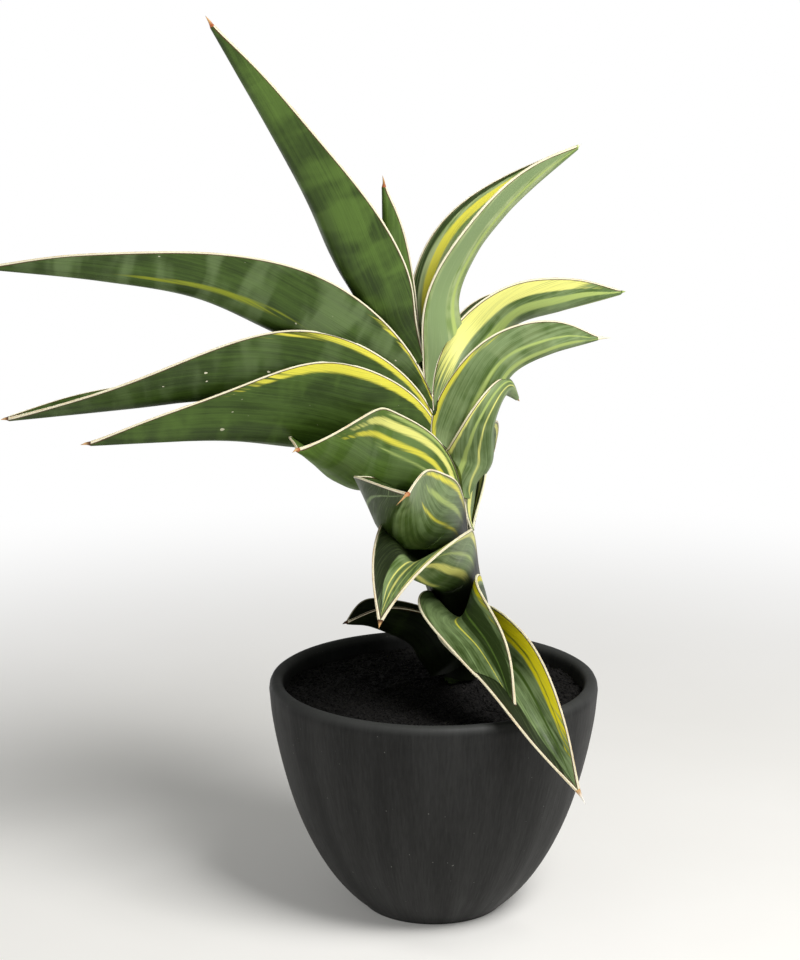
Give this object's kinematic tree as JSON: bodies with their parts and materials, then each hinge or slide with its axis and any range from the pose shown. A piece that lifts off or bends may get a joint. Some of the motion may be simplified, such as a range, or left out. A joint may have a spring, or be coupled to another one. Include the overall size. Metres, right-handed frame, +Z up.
{
  "type": "potted plant",
  "caption": "Variegated sansevieria with opposite ranks of thick channelled horny-tipped leaves on a short leaning stem, in a dark bowl-shaped pot of soil.",
  "frame": {"origin": "centre of the pot's flat base, where it stands", "axes": "+Z up, +X to the right of the front view, +Y away from it"},
  "size_m": [0.3082, 0.2152, 0.4295],
  "materials": {
    "pot": "matte charcoal with fine upright brushed streaks and a slightly lighter rounded lip",
    "soil": "dark loose potting soil with small crumbs",
    "stem": "smooth green stem, all but hidden by the leaf bases",
    "leaf": "satin green with lengthwise yellow and cream stripes, faint grey-green cross bands, white margins and orange-brown horny tips"
  },
  "bodies": {
    "root": {"pot": "pot", "soil": "soil", "stem": "stem", "leaf_spear": "leaf", "leaf_left_1": "leaf", "leaf_right_1": "leaf", "leaf_left_2": "leaf", "leaf_right_2": "leaf", "leaf_left_3": "leaf", "leaf_left_4": "leaf", "leaf_right_3": "leaf", "leaf_right_4": "leaf", "leaf_front_1": "leaf", "leaf_back_1": "leaf", "leaf_front_2": "leaf", "leaf_back_2": "leaf", "leaf_front_3": "leaf", "leaf_back_3": "leaf", "leaf_front_4": "leaf", "leaf_front_5": "leaf", "leaf_back_4": "leaf"}
  },
  "joints": []
}
